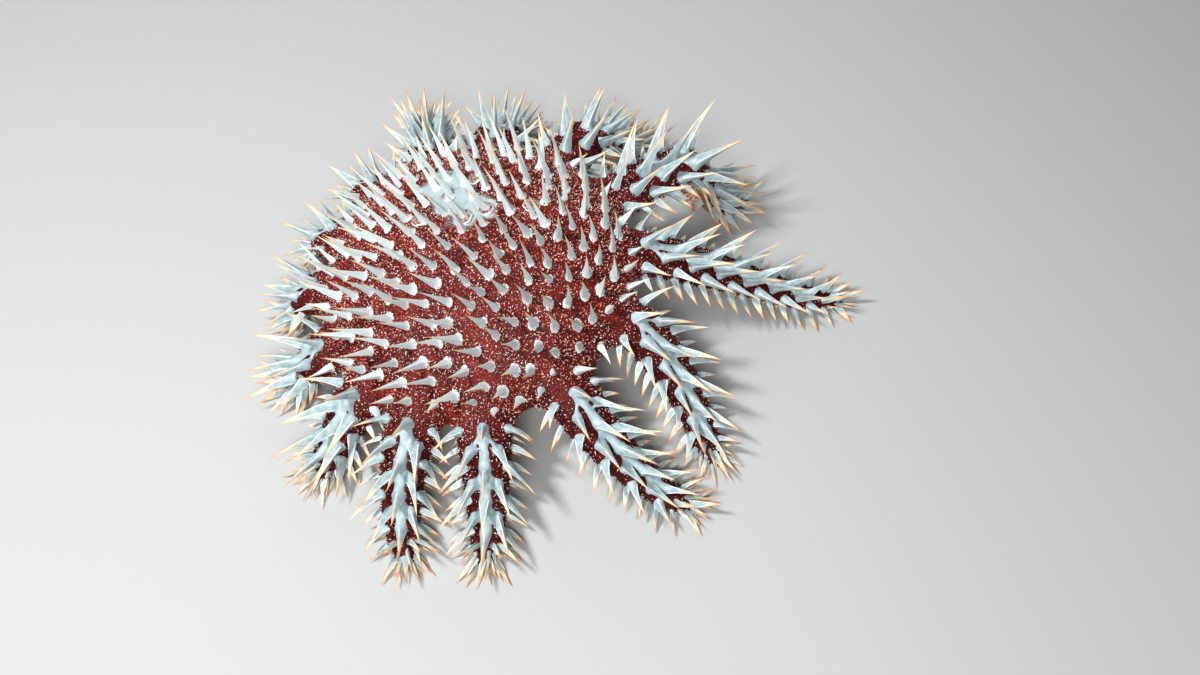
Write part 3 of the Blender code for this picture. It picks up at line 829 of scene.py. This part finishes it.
select_only(bare_body)
bpy.ops.object.mode_set(mode="EDIT")
bpy.ops.mesh.select_all(action="SELECT")
bpy.ops.uv.smart_project(angle_limit=1.15, island_margin=0.004)
bpy.ops.object.mode_set(mode="OBJECT")
bare_data.calc_loop_triangles()
bare_triangles = [tuple(triangle.vertices) for triangle in bare_data.loop_triangles]
bare_corners = [tuple(triangle.loops) for triangle in bare_data.loop_triangles]
bare_places = [vert.co.copy() for vert in bare_data.vertices]
bare_uv = [Vector((*corner.uv, 0.0)) for corner in bare_data.uv_layers.active.data]
bare_surface = BVHTree.FromPolygons(bare_places, bare_triangles)


def map_on_skin(piece, roots, places):
    """Gives each copy a small patch at its root's place on the body's own unwrap, its tip mid-patch."""
    centres = []
    for root in roots.tolist():
        nearest, _, number, _ = bare_surface.find_nearest(root)
        triangle = [bare_places[vert] for vert in bare_triangles[number]]
        spots = [bare_uv[corner] for corner in bare_corners[number]]
        centres.append(barycentric_transform(nearest, *triangle, *spots)[:2])
    width = np.maximum(norms(places[:, :2]), MERGE)
    outline = places[:, :2] / width[:, None] * (1.0 - places[:, 2:3]) * 0.5 * PATCH_ACROSS
    patches = (np.array(centres)[:, None, :] + outline[None, :, :]).reshape(-1, 2)
    give_map(piece, np.clip(patches[read_counts(piece.data.loops, "vertex_index")], 0.0, 1.0))


def coat_piece(name, material, template, roots, upward, radius, height, tilt, sunk, flat=1.0, **marks):
    """Copies of a template on the skin, each turned at random and tilted off its own way up.

    Each mark holds a number for each copy. A random tone and how far up a place is are added.
    """
    places, faces = template
    loose = rng.normal(size=roots.shape)
    upward = upward + tilt[:, None] * loose / norms(loose)[:, None]
    upward /= norms(upward)[:, None]
    across = np.cross(upward, rng.normal(size=roots.shape))
    across /= norms(across)[:, None]
    other = np.cross(upward, across)
    x, y, z = (places[None, :, axis:axis + 1] for axis in range(3))
    radius, height = radius[:, None, None], height[:, None, None]
    copies = (roots[:, None, :] + across[:, None, :] * (x * radius) + other[:, None, :] * (y * radius * flat)
              + upward[:, None, :] * (z * height - sunk))
    copies[:, :, 2] = np.maximum(copies[:, :, 2], OVER_FLOOR)
    marks["tone"] = rng.random(len(roots))
    marks = {mark: [np.repeat(numbers, len(places))] for mark, numbers in marks.items()}
    marks["along"] = [np.tile(places[:, 2], len(roots))]
    piece = joined(name, list(copies), [faces] * len(roots), material, marks)
    map_on_skin(piece, roots, places)
    return piece


# Gill skin, thin and wet: brighter red than the hide, with a painted highlight that makes each nub palest at
# its rounded top.
gill, tree, shader = new_material("wet_gill_skin", Roughness=0.42, IOR=1.38, Specular_IOR_Level=0.25)
base, place = hide_colour(tree, "4C1214", "AC3B30")
along, tone, flank_share = (add_node(tree, "Attribute", {"attribute_name": mark}).outputs["Fac"]
                            for mark in ("along", "tone", "flank"))
base = add_node(tree, "Mix", COLOURS, i0=tone, i6="300B0D", i7=base)
# Painted highlight: each nub's tint turns paler toward its top, by its own tone.
painted_highlight = add_node(tree, "Math", {"operation": "MULTIPLY"}, i0=along, i1=tone)
top = add_node(tree, "Mix", COLOURS, i0=flank_share, i6="CE6B5D", i7="7A2623")
base = add_node(tree, "Mix", COLOURS, i0=painted_highlight, i6=base, i7=top)
fill_inputs(tree, shader, Base_Color=base)

PAPULA = draw_up(4, ((0.0, 1.0), (0.62, 0.86)))
places, normals, flanks, room = open_places(PAPULA_TRIES, PAPULA_SOLE, PAPULA_LOWEST)
kept = np.flatnonzero(room > 0.0)
kept = kept[spaced_out(places[kept], PAPULA_SPACING)]
bearings = np.arctan2(places[kept, 1] - DISC_Y, places[kept, 0] - DISC_X)
side_of_body = np.digitize(bearings, np.radians((-90.0, 90.0)))
for number, side in enumerate(("left_front", "right", "left_back")):
    own = kept[side_of_body == number]
    radius, height, tilt = (rng.uniform(*limits, len(own))
                            for limits in (PAPULA_RADIUS, PAPULA_HEIGHT, PAPULA_TILT))
    papulae = coat_piece(f"papulae_{side}", gill, PAPULA, places[own], normals[own], radius, height,
                         tilt, PAPULA_SUNK, flank=flanks[own])
    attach(papulae, "root")


# ------------------------ pedicellariae
# Tiny closed pincers of pale stone, one to three millimetres long, are strewn over the back,
# thickest about the spines' feet and in drifts, and lie over the nubs.

PINCER_TRIES = 200000
PINCER_SPACING = 0.00125
PINCER_RADIUS = (0.00025, 0.00042)
PINCER_FLATNESS = 0.7
PINCER_LENGTH = (0.0008, 0.0028)
LENGTH_SHAPE = 4.0  # of the gamma spread of the lengths, most of them short
LENGTH_SCALE = 0.00036
PINCER_TILT = (0.9, 2.6)
PINCER_LIFT = 0.0007  # of its root over the hide, among the nubs' tops
PINCER_LOWEST = 0.004
PINCER_SOLE = 0.2
PINCER_OVERLAP = 0.0006  # how far one may stand inside a foot's or a ridge's clear space
PINCER_SHARE = 0.42  # chance of one at a place, before what the next three change
DRIFT_SHARE = 1.30
FEET_SHARE = 0.50
FLANK_LOSS = 0.72
DRIFT_WIDTH = 1 / 70  # metres from one drift to the next
ROUND_FEET = 0.0028  # how far a spine's own cluster spreads from its foot

# Pale calcite, dull: from dusty rose to pinkish white.
pincer_stone, tree, shader = new_material("pale_calcite", Roughness=0.55)
tone, along = (add_node(tree, "Attribute", {"attribute_name": mark}).outputs["Fac"]
               for mark in ("tone", "along"))
tone_share = add_node(tree, "MapRange", SOFTLY, Value=tone, i1=0.05, i2=0.65)
over_root = add_node(tree, "MapRange", SOFTLY, Value=along, i1=0.0, i2=0.35)
base = add_node(tree, "Mix", COLOURS, i0=tone_share, i6="B97C70", i7="F6E9E2")
base = add_node(tree, "Mix", COLOURS, i0=over_root, i6="A05A4F", i7=base)
fill_inputs(tree, shader, Base_Color=base)

PINCER = draw_up(4, ((0.0, 0.6), (0.45, 1.0)))
places, normals, flanks, room = open_places(PINCER_TRIES, PINCER_SOLE, PINCER_LOWEST)
chance = (PINCER_SHARE + DRIFT_SHARE * noise_over(places, DRIFT_WIDTH)
          + FEET_SHARE * np.exp(-np.maximum(room, 0.0) / ROUND_FEET))
chance *= 1.0 - FLANK_LOSS * flanks
kept = np.flatnonzero((room > -PINCER_OVERLAP) & (rng.random(len(places)) < chance))
kept = kept[spaced_out(places[kept], PINCER_SPACING)]
height = rng.gamma(LENGTH_SHAPE, LENGTH_SCALE, len(kept)).clip(*PINCER_LENGTH)
radius, tilt = (rng.uniform(*limits, len(kept)) for limits in (PINCER_RADIUS, PINCER_TILT))
pincers = coat_piece("pedicellariae", pincer_stone, PINCER, places[kept], normals[kept], radius, height,
                     tilt, -PINCER_LIFT, PINCER_FLATNESS)
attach(pincers, "root")


# ------------------------ sieve plates
# Five round plates of porous calcite near the middle of the back let water into the body.
# Each is a low button about a centimetre across, a maze of pits, darkened with painted shade, and pale
# grains.

PLATE_RADIUS = 0.0052
PLATE_SPREAD = (0.9, 1.1)
PLATE_PROFILE = ((0.0, 1.0), (0.55, 1.0), (0.85, 0.90), (0.80, 0.78), (0.97, 0.50))
PLATE_HEIGHT = 0.0020
PLATE_SUNK = 0.0009
PLATE_SIDES = 28
WAVES = 7  # of the uneven rim
WAVE_DEPTH = 0.06

# Bare, dull calcite: painted shade darkens its pits, grey-brown between them, whitish at the rim.
plate_stone, tree, shader = new_material("porous_calcite", Roughness=0.6)
place = add_node(tree, "TexCoord").outputs["Object"]
rim = add_node(tree, "Attribute", {"attribute_name": "rim"}).outputs["Fac"]
pits = add_node(tree, "TexVoronoi", Vector=place, Scale=850.0)  # 1.2 mm apart, coarse so as to show
# Painted shade: the pits, low in the bump, are coloured nearly black.
pit_shade_share = add_node(tree, "MapRange", SOFTLY, Value=pits, i1=0.30, i2=0.62)
rim_share = add_node(tree, "MapRange", SOFTLY, Value=rim, i1=0.88, i2=0.97)
base = add_node(tree, "Mix", COLOURS, i0=pit_shade_share, i6="2C1110", i7="A98F88")
base = add_node(tree, "Mix", COLOURS, i0=rim_share, i6=base, i7="E4ECEB")
bump = add_node(tree, "Bump", Strength=0.8, Distance=0.0005, Height=pits)
fill_inputs(tree, shader, Base_Color=base, Normal=bump)

plate_places, plate_faces = draw_up(PLATE_SIDES, PLATE_PROFILE)
copies = []
for number, (bearing, distance) in enumerate(SIEVE_PLATES):
    spot, normal, _, _ = skin_surface.ray_cast(from_axis(bearing, distance) + UP, -UP)
    across = normal.orthogonal().normalized()
    other = normal.cross(across)
    around_it = np.arctan2(plate_places[:, 1], plate_places[:, 0])
    wave = 1.0 + WAVE_DEPTH * np.sin(WAVES * around_it + number)
    x, y = (plate_places[:, :2] * wave[:, None] * PLATE_RADIUS * rng.uniform(*PLATE_SPREAD)).T
    z = plate_places[:, 2] * PLATE_HEIGHT - PLATE_SUNK
    copies.append(np.array(spot) + np.outer(x, across) + np.outer(y, other) + np.outer(z, normal))
rims = [norms(plate_places[:, :2])] * len(copies)
plates = joined("sieve_plates", copies, [plate_faces] * len(copies), plate_stone, {"rim": rims})
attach(plates, "root")


# ------------------------ tube feet
# Two rows of soft, water-filled feet stand in the groove under every arm, from near the mouth
# to the tip, each a thin stalk with a round sucker. They are muscle and skin, without stone.

FEET_STEP = 0.0034  # along a groove
FEET_ASIDE = 0.0021  # of a row from the groove's middle
FEET_LENGTH = (0.0065, 0.0105)
FEET_RADIUS = 0.00115  # of the sucker
FEET_SPLAY = 0.25
FEET_STRAY = 0.16
FEET_SUNK = 0.0005
SHORTEST_FOOT = 0.0022
FIRST_FOOT = 0.0200  # from the disc's axis
LAST_ON_DISC = 0.0970
INSIDE = 0.0040  # below an arm's crest, where the rays to its sole start
STALK_SIDES = 7
STALK_PROFILE = ((0.0, 0.50), (0.60, 0.42), (0.80, 0.55), (0.88, 1.0))


def groove_of(arm_name):
    """Places along the groove under an arm: (on the sole, its normal, the way out of the groove)."""
    crest = [site for site in arm_spines[arm_name] if row_of(site) == 0]
    crest.sort(key=lambda site: (site.foot - DISC_CENTRE).xy.length)
    first = (crest[0].foot - DISC_CENTRE).xy
    bearing = math.degrees(math.atan2(first.y, first.x))
    rays = []
    for distance in np.arange(FIRST_FOOT, LAST_ON_DISC, FEET_STEP):
        start = from_axis(bearing, distance) - UP
        rays.append((start, UP, (start - from_axis(0.0, 0.0) + UP).normalized()))
    for here, there in zip(crest, crest[1:]):
        step = there.foot - here.foot
        count = max(round(step.length / FEET_STEP), 1)
        for share in np.arange(count) / count:
            inward = -here.normal.lerp(there.normal, share).normalized()
            rays.append((here.foot.lerp(there.foot, share) + inward * INSIDE, inward, step.normalized()))
    for start, way, heading in rays:
        side = heading.cross(way).normalized()
        for aside in (-FEET_ASIDE, FEET_ASIDE):
            spot, normal, _, _ = skin_surface.ray_cast(start + side * aside, way)
            if spot is not None:
                yield spot, normal, side * math.copysign(1.0, aside)


def above_floor(spot, way, length):
    """The length cut short so that the far end stays over the floor."""
    if way.z >= 0.0:
        return length
    return min(length, (spot.z - OVER_FLOOR) / -way.z)


# Wet, half clear muscle: yellowish at the stalk, orange-pink toward the sucker.
muscle, tree, shader = new_material("wet_muscle", Roughness=0.32, IOR=1.38)
along, tone = (add_node(tree, "Attribute", {"attribute_name": mark}).outputs["Fac"]
               for mark in ("along", "tone"))
on_sucker = add_node(tree, "MapRange", SOFTLY, Value=along, i1=0.70, i2=0.90)
base = add_node(tree, "Mix", COLOURS, i0=tone, i6="D9A05F", i7="E8BE8A")
base = add_node(tree, "Mix", COLOURS, i0=on_sucker, i6=base, i7="D97F6A")
fill_inputs(tree, shader, Base_Color=base)

STALK = draw_up(STALK_SIDES, STALK_PROFILE)
found = []
for arm_name in ARM_NAMES:
    for spot, normal, side in groove_of(arm_name):
        way = (normal + side * FEET_SPLAY + Vector(rng.normal(0.0, FEET_STRAY, 3))).normalized()
        reach = above_floor(spot, way, rng.uniform(*FEET_LENGTH))
        if reach > SHORTEST_FOOT:
            found.append((spot, way, reach))
roots, ways, reaches = (np.array(column) for column in zip(*found))
count = len(roots)
tube_feet = coat_piece("tube_feet", muscle, STALK, roots, ways, np.full(count, FEET_RADIUS), reaches,
                       np.zeros(count), FEET_SUNK)
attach(tube_feet, "root")


# ------------------------ groove spines
# Short, blunt spines in a row along both edges of every groove close over the tube feet, and
# a ring of stouter ones stands round the mouth. Skin over calcite, like the rest.

GUARD_ASIDE = 0.0058  # from the groove's middle
GUARD_LENGTH = (0.0055, 0.0085)
GUARD_LEAN = 0.35  # over the groove
GUARD_STRAY = 0.12
JAWS = 14
JAW_SPINES = 3 * JAWS
JAW_RADIUS = 0.0150
JAW_STAGGER = 0.12  # share by which every second spine stands further out
JAW_LEAN = 0.55  # over the mouth
JAW_SPINE_LENGTH = (0.0080, 0.0110)

guards = []
for arm_name in ARM_NAMES:
    for spot, _, side in groove_of(arm_name):
        foot, normal, _, _ = skin_surface.find_nearest(spot + side * (GUARD_ASIDE - FEET_ASIDE))
        way = (normal - side * GUARD_LEAN + Vector(rng.normal(0.0, GUARD_STRAY, 3))).normalized()
        length = above_floor(foot, way, rng.uniform(*GUARD_LENGTH))
        if length > SHORTEST_FOOT:
            guards.append(Site("oral", foot, normal, foot + way * length, "oral"))
mouth_centre = from_axis(0.0, 0.0)
for number in range(JAW_SPINES):
    bearing = 360.0 * (number + 0.5) / JAW_SPINES
    place = from_axis(bearing, JAW_RADIUS * (1.0 + JAW_STAGGER * (number % 2)))
    foot, normal, _, _ = skin_surface.ray_cast(place - UP, UP)
    way = (normal + (mouth_centre - place).normalized() * JAW_LEAN).normalized()
    guards.append(Site("oral", foot, normal, foot + way * rng.uniform(*JAW_SPINE_LENGTH), "oral"))
make_spines("groove_spines", guards)


# ------------------------ mouth
# A soft, round membrane closes the middle of the underside, gathered in folds about a small
# opening. It is thin, wet skin, paler than the sole, and hangs in the ring of mouth spines.

MOUTH_RADIUS = 0.0118
MOUTH_SIDES = 84
MOUTH_PROFILE = ((0.0, 1.0), (0.30, 0.86), (0.62, 0.62), (0.86, 0.40), (0.80, 0.24), (0.45, 0.17))
MOUTH_DROP = 0.0042  # of its middle below its edge
MOUTH_LIFT = 0.0010  # of its edge above the hide round it
ROUND_MOUTH = 1.3  # where that hide is measured, as a share of the radius
FOLDS = 14
FOLD_DEPTH = 0.05  # as a share of the radius
FOLD_DROP = 3.0  # how much more they move it up and down

# Thin, wet skin: glossy, blotched from brown to cream.
membrane, tree, shader = new_material("thin_wet_membrane", Roughness=0.3, IOR=1.38)
place = add_node(tree, "TexCoord").outputs["Object"]
blotches = add_node(tree, "TexNoise", Vector=place, Scale=380.0, Detail=2.0)  # 2.6 mm wide
base = add_node(tree, "Mix", COLOURS, i0=blotches, i6="A7745F", i7="DDB99C")
fill_inputs(tree, shader, Base_Color=base)

mouth_places, mouth_faces = draw_up(MOUTH_SIDES, MOUTH_PROFILE)
beside, _, _, _ = skin_surface.ray_cast(from_axis(0.0, MOUTH_RADIUS * ROUND_MOUTH) - UP, UP)
bearing = np.arctan2(mouth_places[:, 1], mouth_places[:, 0])
reach = norms(mouth_places[:, :2])
fold = FOLD_DEPTH * np.cos(FOLDS * bearing) * np.sin(math.pi * np.clip(reach, 0.0, 1.0))
copy = np.column_stack([mouth_centre.x + mouth_places[:, 0] * MOUTH_RADIUS * (1.0 + fold),
                        mouth_centre.y + mouth_places[:, 1] * MOUTH_RADIUS * (1.0 + fold),
                        beside.z + MOUTH_LIFT - MOUTH_DROP * (mouth_places[:, 2] + FOLD_DROP * fold)])
mouth = joined("mouth", [copy], [[face[::-1] for face in mouth_faces]], membrane, {})
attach(mouth, "root")


# ------------------------ floor, light and camera
# A plain pale floor, a bright lamp from the upper left and weaker, softer ones from in front,
# the right and behind. The camera looks down on the animal's back from in front.

LIT_PLACE = Vector((-0.02, 0.0, 0.04))
LAMPS = {  # place, size, watts and tint
    "key": ((-0.62, -0.20, 1.15), 0.15, 16.8, (1.0, 0.985, 0.96)),
    "front": ((-0.05, -0.75, 0.95), 0.30, 8.5, (1.0, 0.99, 0.97)),
    "fill": ((0.9, -0.5, 0.7), 0.8, 0.7, (0.90, 0.96, 1.0)),
    "back": ((0.1, 1.1, 0.9), 0.8, 4.0, (0.92, 0.97, 1.0)),
}
CAMERA_PLACE = (DISC_X + 0.0774, DISC_Y - 0.4316, 0.6760)
CAMERA_TILT = math.radians(32.0)  # from straight down

bpy.data.objects.remove(bare_body)
bpy.ops.object.select_all(action="DESELECT")
bpy.ops.mesh.primitive_plane_add(size=6.0, location=(0, 0, 0))
floor = bpy.context.object
floor.name = "floor"
paper, _, _ = new_material("pale_paper", Roughness=0.9, Base_Color="B6B9B9")
floor.data.materials.append(paper)

for name, (place, size, power, tint) in LAMPS.items():
    light = bpy.data.lights.new(name, "AREA")
    light.energy = power
    light.size = size
    light.color = tint
    lamp = add_object(name, light)
    lamp.location = place
    lamp.rotation_euler = (LIT_PLACE - Vector(place)).to_track_quat("-Z", "Y").to_euler()

world = bpy.data.worlds.new("soft_studio")
world.use_nodes = True
fill_inputs(world.node_tree, world.node_tree.nodes["Background"], Color="C8D2D8", Strength=0.10)
bpy.context.scene.world = world

camera_data = bpy.data.cameras.new("camera")
camera_data.lens = 36.0
camera_data.sensor_width = 36.0
camera_data.clip_start = 0.01
camera = add_object("camera", camera_data)
camera.location = CAMERA_PLACE
camera.rotation_euler = (CAMERA_TILT, 0.0, 0.0)
bpy.context.scene.camera = camera
bpy.context.scene.view_settings.view_transform = "Standard"
